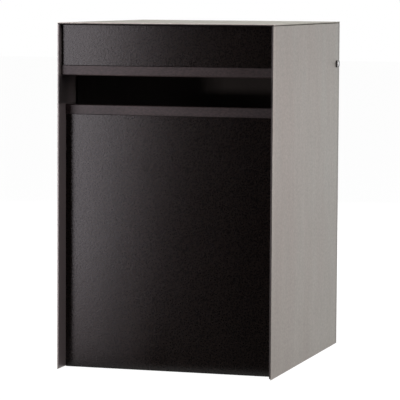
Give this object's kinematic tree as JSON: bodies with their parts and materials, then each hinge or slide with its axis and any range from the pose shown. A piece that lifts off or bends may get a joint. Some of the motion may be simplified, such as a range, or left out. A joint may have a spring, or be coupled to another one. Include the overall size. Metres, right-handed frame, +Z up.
{
  "type": "book drop box",
  "caption": "Upright steel drop box with a wide recessed front slot, hanging flap, chute, self-lowering platform and lockable rear door.",
  "frame": {"origin": "on the floor, under the middle of the cabinet", "axes": "+Z up, front slot towards -Y, lock on the +X side"},
  "size_m": [0.648, 0.796, 1],
  "materials": {
    "black_coat": "fine textured black powder coat",
    "grey_coat": "warm silver grey powder coat",
    "trim_black": "smooth matte black edge profile",
    "chrome": "polished lock parts",
    "steel": "bright ground steel",
    "zinc": "zinc plated steel",
    "nylon": "natural nylon",
    "rubber": "black rubber"
  },
  "bodies": {
    "cabinet": {"left_liner": "black_coat", "right_liner": "black_coat", "left_cladding": "grey_coat", "right_cladding": "grey_coat", "top_liner": "black_coat", "top_cladding": "grey_coat", "base_pan": "black_coat", "fascia": "black_coat", "upper_trim": "trim_black", "front_panel": "black_coat", "lower_trim": "trim_black", "chute": "black_coat", "flap_brackets": "black_coat", "flap_bushes": "nylon", "flap_stops": "rubber", "guide_rods": "steel", "rod_feet": "black_coat", "rod_brackets": "black_coat", "rod_buffers": "rubber", "spring_seats": "nylon", "left_spring": "zinc", "right_spring": "zinc", "frame_hinges": "steel", "hinge_pins": "steel", "door_buffers": "rubber", "lock_housing": "chrome", "lock_nut": "chrome", "fascia_screws": "zinc", "panel_screws": "zinc", "bracket_screws": "zinc", "frame_rivets": "zinc"},
    "rear_door": {"rear_door": "black_coat", "door_hinges": "steel", "door_pull": "black_coat", "lock_keeper": "zinc", "door_rivets": "zinc"},
    "lock_core": {"lock_plug": "chrome", "lock_cam": "zinc", "cam_screw": "zinc"},
    "flap": {"flap_plate": "black_coat", "flap_rod": "steel"},
    "platform": {"platform_tray": "zinc", "platform_mat": "rubber", "carriages": "zinc", "carriage_bushes": "nylon", "carriage_bolts": "zinc"}
  },
  "joints": [
    {"name": "rear_door_swing", "type": "hinge", "parent": "cabinet", "child": "rear_door", "pos_m": [-0.3132, 0.3941, 0.5], "axis": [0, 0, 1], "range_deg": [0, 110]},
    {"name": "lock_turn", "type": "hinge", "parent": "cabinet", "child": "lock_core", "pos_m": [0.31, 0.351, 0.871], "axis": [1, 0, 0], "range_deg": [0, 90]},
    {"name": "flap_swing", "type": "hinge", "parent": "cabinet", "child": "flap", "pos_m": [0, -0.25, 0.915], "axis": [1, 0, 0], "range_deg": [0, 75]},
    {"name": "platform_sink", "type": "slide", "parent": "cabinet", "child": "platform", "axis": [0, 0, 1], "range_m": [-0.4, 0], "stiffness_N_per_m": 1000, "springref_m": 0.1, "deforming": ["left_spring", "right_spring"]}
  ]
}
